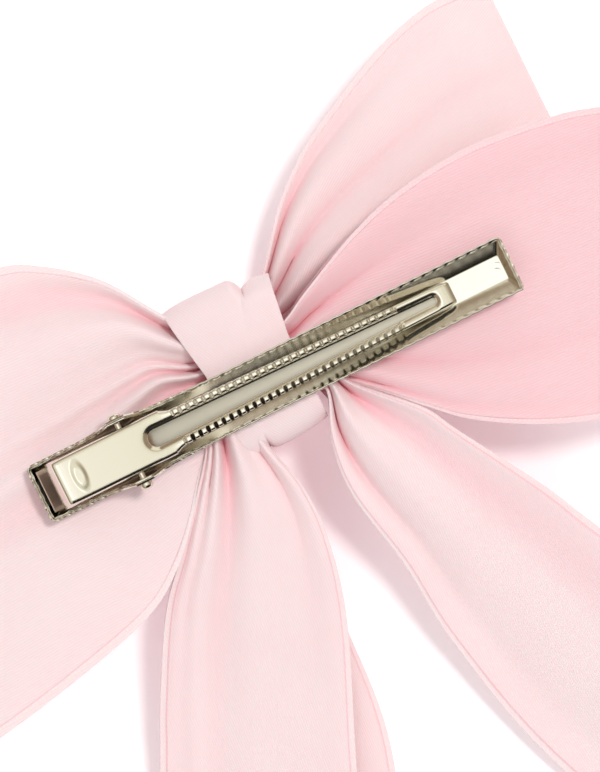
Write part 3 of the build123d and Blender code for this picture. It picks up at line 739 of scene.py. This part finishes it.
def build_tail(drop, outer_edge, inner_edge, side, gathers, seed):
    """One tail. outer_edge and inner_edge are its outlines from the knot to the slanted end, as (x, y), and
    drop is its side view, as (y, z)."""
    cols, rows = 96, 220
    rng = np.random.default_rng(seed)
    outer, length = smooth_path(outer_edge, rows)
    inner, _ = smooth_path(inner_edge, rows)
    v = across_samples(TAIL_HALF, cols)
    share = ((v + 1) / 2)[None, :, None]
    flat = inner[:, None, :] * (1 - share) + outer[:, None, :] * share
    x, y = flat[..., 0], flat[..., 1]
    z = curve_at(-y, [(-a, b) for a, b in drop])
    s = np.linspace(0, 1, rows)[:, None]
    grown = np.exp(-np.clip(-y - 8.0, 0, None) / 15.0)
    lift = folds(v[None, :], grown, gathers) * step(-y, 1.0, 9.0)
    z = z + lift
    for _ in range(4):
        place, width = rng.uniform(-0.8, 0.8), rng.uniform(0.2, 0.45)
        at, far = rng.uniform(0.2, 0.8), rng.uniform(0.1, 0.25)
        z = z + rng.uniform(-0.5, 1.2) * bump(v[None, :], place, width) * bump(s, at, far)
    points = np.stack([x, y, z], axis=-1)
    opening = np.linalg.norm(outer - inner, axis=1) / (2 * TAIL_HALF)
    points = offset_along_normal(points, side * hem_rise(v, TAIL_HALF, opening))
    points[..., 2] = np.maximum(points[..., 2], RESTING_CLEARANCE)
    # painted shade: deeper pink in the valleys of the gathers
    return points, ribbon_maps(points, v, TAIL_HALF, s[:, 0] * length, -lift / 2.6)


BACK_DROP = [(4, 19.7), (-3, 19.9), (-9, 19.9), (-15, 19.0), (-22, 17.0), (-30, 14.2), (-50, 8.0)]
BACK_DROP += [(-70, 4.2), (-90, 2.6), (-118, 2.2)]
FRONT_DROP = [(4, 10.9), (-3, 10.9), (-9, 10.9), (-15, 10.3), (-30, 7.0), (-50, 3.4), (-70, 1.5)]
FRONT_DROP += [(-90, 0.9), (-118, 0.8)]


def build_back_tails():
    """The pair of tails next to the clip."""
    left_outer = [(-8.6, -3.2), (-10.6, -6.0), (-13.1, -10.2), (-21.9, -20.6), (-28.9, -28.5)]
    left_outer += [(-36.5, -41.4), (-40.6, -49.5), (-50.0, -67.5), (-56, -81)]
    left_inner = [(-4.2, -5.0), (-3.9, -8.0), (-3.2, -12.4), (-1.2, -20.3), (-1.3, -29.5), (-4.4, -42.4)]
    left_inner += [(-12.8, -62.8), (-21.4, -84), (-30.5, -108.4)]
    right_outer = [(8.9, -3.4), (10.6, -6.0), (13.2, -9.9), (20.9, -17.6), (24.1, -23.0), (32.5, -36.9)]
    right_outer += [(36.8, -45.4), (47, -64.5), (56, -81)]
    right_inner = [(5.6, -4.0), (7.4, -6.4), (8.6, -9.0), (5.9, -16.0), (5.1, -25.0), (7.6, -38.5)]
    right_inner += [(9.1, -53.3), (14.7, -76.3), (28.4, -108.4)]
    left_folds = [(0.93, 0.03, -1.0, 0.0), (0.86, 0.04, 0.8, 0.0), (0.78, 0.03, -1.2, 0.0)]
    left_folds += [(0.64, 0.09, 1.5, 0.25), (0.40, 0.15, -3.0, 0.14), (0.02, 0.24, 2.2, 0.35)]
    left_folds += [(-0.62, 0.04, -1.8, 0.0), (-0.86, 0.12, 1.4, 0.3)]
    right_folds = [(-0.90, 0.12, 1.3, 0.15), (-0.62, 0.09, -3.4, 0.04), (-0.15, 0.26, 2.0, 0.45)]
    right_folds += [(0.52, 0.20, -3.2, 0.22), (0.92, 0.08, 1.2, 0.2)]
    left = build_tail(BACK_DROP, left_outer, left_inner, 1, left_folds, 21)
    right = build_tail(BACK_DROP, right_outer, right_inner, -1, right_folds, 22)
    return join_grids("back_tails_ribbon", [left, right], flip=1)


def build_front_tails():
    """The narrower pair behind the first."""
    left_outer = [(-8.2, -2.6), (-10.4, -6.0), (-13, -10), (-18.5, -20), (-25.5, -32), (-35, -50)]
    left_inner = [(-2.6, -6.0), (-3.0, -10.0), (-4.0, -22), (-3.2, -34), (-4.9, -42.4), (-7.5, -65.4)]
    left_outer, left_inner = left_outer + [(-46, -72)], left_inner + [(-21, -100.5)]
    right_outer = [(8.6, -2.6), (10.6, -6.0), (13, -10), (20.5, -21), (28.5, -36), (38, -53), (49, -74)]
    right_inner = [(5.6, -5.0), (7.8, -8.0), (8.9, -14), (8.8, -26), (11, -40), (15.5, -60), (28, -100.5)]
    gathers = [(0.8, 0.12, 1.2, 0.15), (0.5, 0.06, -2.4, 0.1), (0.1, 0.2, 1.4, 0.3)]
    gathers += [(-0.4, 0.06, -2.2, 0.1), (-0.8, 0.12, 1.0, 0.2)]
    left = build_tail(FRONT_DROP, left_outer, left_inner, 1, gathers, 31)
    right = build_tail(FRONT_DROP, right_outer, right_inner, -1, gathers, 32)
    return join_grids("front_tails_ribbon", [left, right], flip=1)


def rounded_ring(half_height, low, high, radius, count):
    """Closed loop of (y, z) round a rounded rectangle, starting at the middle of its top."""
    mid, flat_y, flat_z = (low + high) / 2, half_height - radius, (high - low) / 2 - radius
    out = [(0.0, high)]
    corner_centres = [(flat_y, flat_z), (flat_y, -flat_z), (-flat_y, -flat_z), (-flat_y, flat_z)]
    for k, (cy, cz) in enumerate(corner_centres):
        for t in np.linspace(0, 1, 14):
            a = math.pi / 2 * (1 - k - t)
            out.append((cy + radius * math.cos(a), mid + cz + radius * math.sin(a)))
    out = np.array(out + [out[0]])
    run = np.concatenate([[0], np.cumsum(np.linalg.norm(np.diff(out, axis=0), axis=1))])
    at = np.linspace(0, run[-1], count, endpoint=False)
    return np.stack([np.interp(at, run, out[:, k]) for k in range(2)], axis=1), run[-1]


def build_wrap():
    """Ribbon round the knot: it flares towards its upper end, where a notch is pinched in."""
    count, cols = 480, 90
    ring, length = rounded_ring(KNOT_HIGH[1] - 0.1, KNOT_LOW[2] + 0.25, KNOT_HIGH[2] - 0.1, 5.2, count)
    v = across_samples(WRAP_HALF, cols)[None, :]
    y, z = ring[:, 0][:, None], ring[:, 1][:, None]
    left = -7.0 - 0.17 * np.clip(y - 1.5, 0, None)
    right = 7.1 + 0.13 * np.clip(y - 1.8, 0, None)
    x = left + (right - left) * (v + 1) / 2
    upper, lower = step(y, 9.0, 12.6), step(-y, 9.5, 12.6)
    notch = np.exp(-np.abs(v - 0.44) / 0.07)
    rise = 0.55 * (1 - v**4) - 0.6
    rise = rise + upper * (0.75 * (1 - step(v, 0.25, 0.45)) - 0.9 * step(v, 0.35, 0.55) - 1.3 * notch)
    rise = rise + lower * (-0.25 * v - 0.9 * np.exp(-np.abs(v + 0.42) / 0.06))
    rise = rise - 0.28 * np.exp(-np.abs(v - 0.44 - 0.03 * (y - 12)) / 0.06) * step(y, 2, 11)
    rise = rise + 0.3 * np.sin(2.1 * v + 0.35 * y) * (1 - np.abs(v)) * 0.5
    points = np.stack([x, np.broadcast_to(y, x.shape), np.broadcast_to(z, x.shape)], axis=-1)
    out = np.stack([np.zeros_like(y), y, z - (KNOT_LOW[2] + KNOT_HIGH[2]) / 2], axis=-1)
    out = out / np.linalg.norm(out, axis=-1, keepdims=True)
    points = points + out * rise[..., None]
    maps = ribbon_maps(points, v[0], WRAP_HALF, np.linspace(0, length, count))
    return grid_object("knot_wrap_ribbon", points, maps, wrap_rows=True)


def build_thread():
    """Four turns of thread that gather the ribbons inside the knot."""
    low, high = corners("tie_thread")
    turns = 4
    centre = (low + high) / 2
    curve = bpy.data.curves.new("tie_thread_winding", "CURVE")
    curve.dimensions = "3D"
    for k in range(turns):
        ring, _ = rounded_ring(high[1] - 0.35, low[2] + 0.35, high[2] - 0.35, 4.6, 60)
        x = centre[0] + (k - (turns - 1) / 2) * 0.62
        spline = curve.splines.new("NURBS")
        spline.points.add(len(ring) - 1)
        for point, (y, z) in zip(spline.points, ring):
            point.co = (x * MM, y * MM, z * MM, 1)
        spline.use_cyclic_u = True
    curve.bevel_depth = 0.2 * MM
    curve.bevel_resolution = 3
    obj = bpy.data.objects.new("tie_thread_winding", curve)
    bpy.context.scene.collection.objects.link(obj)
    return obj


def build_glue():
    """Squeezed-out bead of hot-melt glue between the knot and the tray."""
    low, high = corners("glue_pad")
    centre, half = (low + high) / 2, (high - low) / 2
    rows, cols = 40, 96
    turn = np.linspace(0, 2 * math.pi, cols, endpoint=False)[None, :]
    tilt = np.linspace(-math.pi / 2, math.pi / 2, rows)[:, None]
    power = 0.42

    def soft(value):
        return np.sign(value) * np.abs(value) ** power

    wobble = 1 + 0.03 * np.sin(3 * turn + 0.7) + 0.02 * np.sin(7 * turn)
    x = centre[0] + half[0] * soft(np.cos(turn)) * np.cos(tilt) ** 0.35 * wobble
    y = centre[1] + half[1] * soft(np.sin(turn)) * np.cos(tilt) ** 0.35 * wobble
    z = centre[2] + half[2] * np.sin(tilt) * np.ones_like(turn)
    return grid_object("glue_bead", np.stack([x, y, z], axis=-1), wrap_cols=True)


# ---------------------------------------------------------------- put it together

SATIN = satin("satin_pink", LOOP_HALF, -6)
SATIN_FRONT = satin("satin_pink_front", LOOP_HALF, -26)
SATIN_TAIL = satin("satin_pink_tail", TAIL_HALF, 24)
SATIN_WRAP = satin("satin_pink_wrap", WRAP_HALF + 2 * HEM_WIDTH, 27)
NICKEL = nickel("nickel_bright", (0.85, 0.82, 0.74), 0.14, 0.6, (1, 6, 6))
NICKEL_TRAY = nickel("nickel_tray", (0.80, 0.77, 0.70), 0.11, 0.8, (1, 5, 5), 0.5, (CLIP_REAR + 69, 2.1))
# the spring's pink-brown is a copper-like tone of its own and partly a painted reflection of the pink ribbons
STEEL = nickel("spring_brushed", (0.82, 0.68, 0.62), 0.30, 1.6, (9, 0.6, 1), 0.4)
GLUE = plain("hot_melt_glue", (0.90, 0.87, 0.80), 0.32, 500, 0.12, 0.25, 0.3)
THREAD = plain("sewing_thread", (0.93, 0.76, 0.80), 0.7, 3000, 0.3)

finish_piece(build_tray(), "base", NICKEL_TRAY, "nickel_plate", "base_tray")
finish_piece(build_lever(), "lever", NICKEL, "nickel_plate", "lever")
finish_piece(build_pin(), "base", NICKEL, "nickel_plate", "pivot_pin")
spring = finish_piece(build_spring(), "base", STEEL, "spring_steel", "leaf_spring")
finish_piece(build_glue(), "base", GLUE, "hot_melt", "glue_pad")
finish_piece(build_thread(), "base", THREAD, "thread", "tie_thread")

# The third entry is a flat size for each piece, which nothing reads. Four of the five are smaller than what
# is modelled, and only back_tails is declared at its own size. As drawn, the loops are 63 mm wide, the front
# tails 38 mm wide and the strip round the knot is 86 mm long.
ribbons = {
    "knot_wrap": (build_wrap(), SATIN_WRAP, (0.015, 0.068), "stretched"),
    "back_loops": (build_back_loops(), SATIN, (0.050, 0.310), "gathered"),
    "front_loops": (build_front_loops(), SATIN_FRONT, (0.050, 0.235), "gathered"),
    "back_tails": (build_back_tails(), SATIN_TAIL, (0.038, 0.210), "gathered"),
    "front_tails": (build_front_tails(), SATIN_TAIL, (0.030, 0.190), "gathered"),
}
for node, (ribbon, material, flat, held) in ribbons.items():
    solidify(ribbon, RIBBON_SHEET, 0.0)
    finish_piece(ribbon, "base", material, "satin", node)
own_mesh(spring)


# ---------------------------------------------------------------- camera, floor and light


def add_camera():
    """Straight down on the clip, turned so that it climbs to the right, through a longish lens."""
    data = bpy.data.cameras.new("camera")
    cam = bpy.data.objects.new("camera", data)
    bpy.context.scene.collection.objects.link(cam)
    right = Vector((0.8967, -0.4426, 0.0))
    up = Vector((0.4426, 0.8967, 0.0))
    back = Vector((0, 0, 1))
    distance, height = 520.0, 117.4
    centre = Vector((TRAY_LOW[0] + TRAY_LENGTH / 2 + 2.87, CLIP_Y - 2.60, TRAY_HIGH[2] - 2.6))
    place = centre + back * distance
    cam.matrix_world = Matrix.Translation(place * MM) @ Matrix((right, up, back)).transposed().to_4x4()
    data.sensor_fit = "VERTICAL"
    data.sensor_height = 24.0
    data.lens = 24.0 * distance / height
    data.clip_start, data.clip_end = 0.01, 10.0
    bpy.context.scene.camera = cam


def rectangle(name, width, height, z=0.0):
    """Flat rectangle about the origin, in millimetres."""
    x, y = width / 2, height / 2
    return mesh_object(name, [(-x, -y, z), (x, -y, z), (x, y, z), (-x, y, z)], [(0, 1, 2, 3)])


def add_floor():
    """Pale floor with a faint pink glow of its own: painted light that lifts the bow's shadow and tints it
    pink.
    """
    floor = rectangle("floor", 6000.0, 6000.0, -0.02)
    g = Graph("floor_white")
    g.set(Base_Color=(0.93, 0.93, 0.935, 1), Roughness=0.9, Specular_IOR_Level=0.1)
    # painted light: the floor glows faintly pink, though it is no lamp
    g.set(Emission_Color=(1.0, 0.82, 0.88, 1), Emission_Strength=0.20)
    floor.data.materials.append(g.material)


def add_area(name, place, target, size, power, colour=(1, 1, 1)):
    data = bpy.data.lights.new(name, "AREA")
    data.shape, data.size, data.energy, data.color = "DISK", size, power, colour
    lamp = bpy.data.objects.new(name, data)
    bpy.context.scene.collection.objects.link(lamp)
    lamp.location = place
    lamp.visible_glossy = False
    lamp.rotation_euler = (Vector(target) - Vector(place)).to_track_quat("-Z", "Y").to_euler()


def add_card(name, place, target, width, height, value):
    """Studio card that only shows up as a reflection."""
    card = rectangle(name, width / MM, height / MM)
    card.location = place
    card.rotation_euler = (Vector(target) - Vector(place)).to_track_quat("Z", "Y").to_euler()
    mat = bpy.data.materials.new(name)
    mat.use_nodes = True
    nodes, links = mat.node_tree.nodes, mat.node_tree.links
    nodes.clear()
    glow, out = nodes.new("ShaderNodeEmission"), nodes.new("ShaderNodeOutputMaterial")
    glow.inputs["Color"].default_value = (*value, 1)
    glow.inputs["Strength"].default_value = 1.0
    links.new(glow.outputs[0], out.inputs[0])
    card.data.materials.append(mat)
    card.visible_camera = card.visible_diffuse = card.visible_shadow = card.visible_transmission = False


def add_world():
    """White studio for diffuse light. Reflections see it as a studio is: warm dark walls, a cream ceiling and
    a white panel straight above."""
    world = bpy.data.worlds.new("studio")
    world.use_nodes = True
    bpy.context.scene.world = world
    nodes, links = world.node_tree.nodes, world.node_tree.links
    direction, split = nodes.new("ShaderNodeTexCoord"), nodes.new("ShaderNodeSeparateXYZ")
    links.new(direction.outputs["Generated"], split.inputs[0])
    rising = nodes.new("ShaderNodeValToRGB")
    links.new(split.outputs[2], rising.inputs[0])
    stops = [(0.0, (0.30, 0.22, 0.15)), (0.30, (0.34, 0.25, 0.17)), (0.62, (0.40, 0.33, 0.25))]
    stops += [(0.80, (0.68, 0.63, 0.50)), (0.88, CREAM), (0.97, CREAM), (0.99, (1.0, 1.0, 1.0))]
    ramp = rising.color_ramp
    for place, value in stops[1:-1]:
        ramp.elements.new(place)
    for element, (place, value) in zip(ramp.elements, stops):
        element.position, element.color = place, (*value, 1)
    overhead = nodes.new("ShaderNodeMapRange")
    overhead.inputs["From Min"].default_value, overhead.inputs["From Max"].default_value = 0.97, 0.99
    overhead.inputs["To Min"].default_value, overhead.inputs["To Max"].default_value = 1.0, 1.45
    links.new(split.outputs[2], overhead.inputs["Value"])
    background, mirrored = nodes["Background"], nodes.new("ShaderNodeBackground")
    background.inputs["Color"].default_value = (1.0, 0.99, 0.985, 1)
    background.inputs["Strength"].default_value = 0.62
    links.new(rising.outputs[0], mirrored.inputs["Color"])
    links.new(overhead.outputs[0], mirrored.inputs["Strength"])
    rays, mix = nodes.new("ShaderNodeLightPath"), nodes.new("ShaderNodeMixShader")
    links.new(rays.outputs["Is Glossy Ray"], mix.inputs[0])
    links.new(background.outputs[0], mix.inputs[1])
    links.new(mirrored.outputs[0], mix.inputs[2])
    links.new(mix.outputs[0], nodes["World Output"].inputs["Surface"])


add_camera()
add_floor()
add_world()
add_area("key", (0.92, 0.22, 2.40), (0, 0, 0), 0.48, 32.0, (1.0, 0.99, 0.965))
add_area("fill", (-0.5, -0.5, 1.1), (0, 0, 0), 0.9, 2.0, (0.98, 0.98, 1.0))
add_card("dark_card", (0.04, -0.20, 0.185), (0.04, -0.0036, 0.02), 0.32, 0.30, CARD_BLACK)
add_card("low_dark_card", (0.080, -0.16, 0.072), (0.080, -0.0036, 0.03), 0.17, 0.14, CARD_BLACK)
add_card("cream_card", (0.15, 0.20, 0.12), (0.05, -0.0036, 0.02), 0.20, 0.20, (0.95, 0.90, 0.74))

bpy.context.scene.cycles.diffuse_bounces = 10
bpy.context.scene.view_settings.view_transform = "Standard"
bpy.context.scene.view_settings.look = "None"
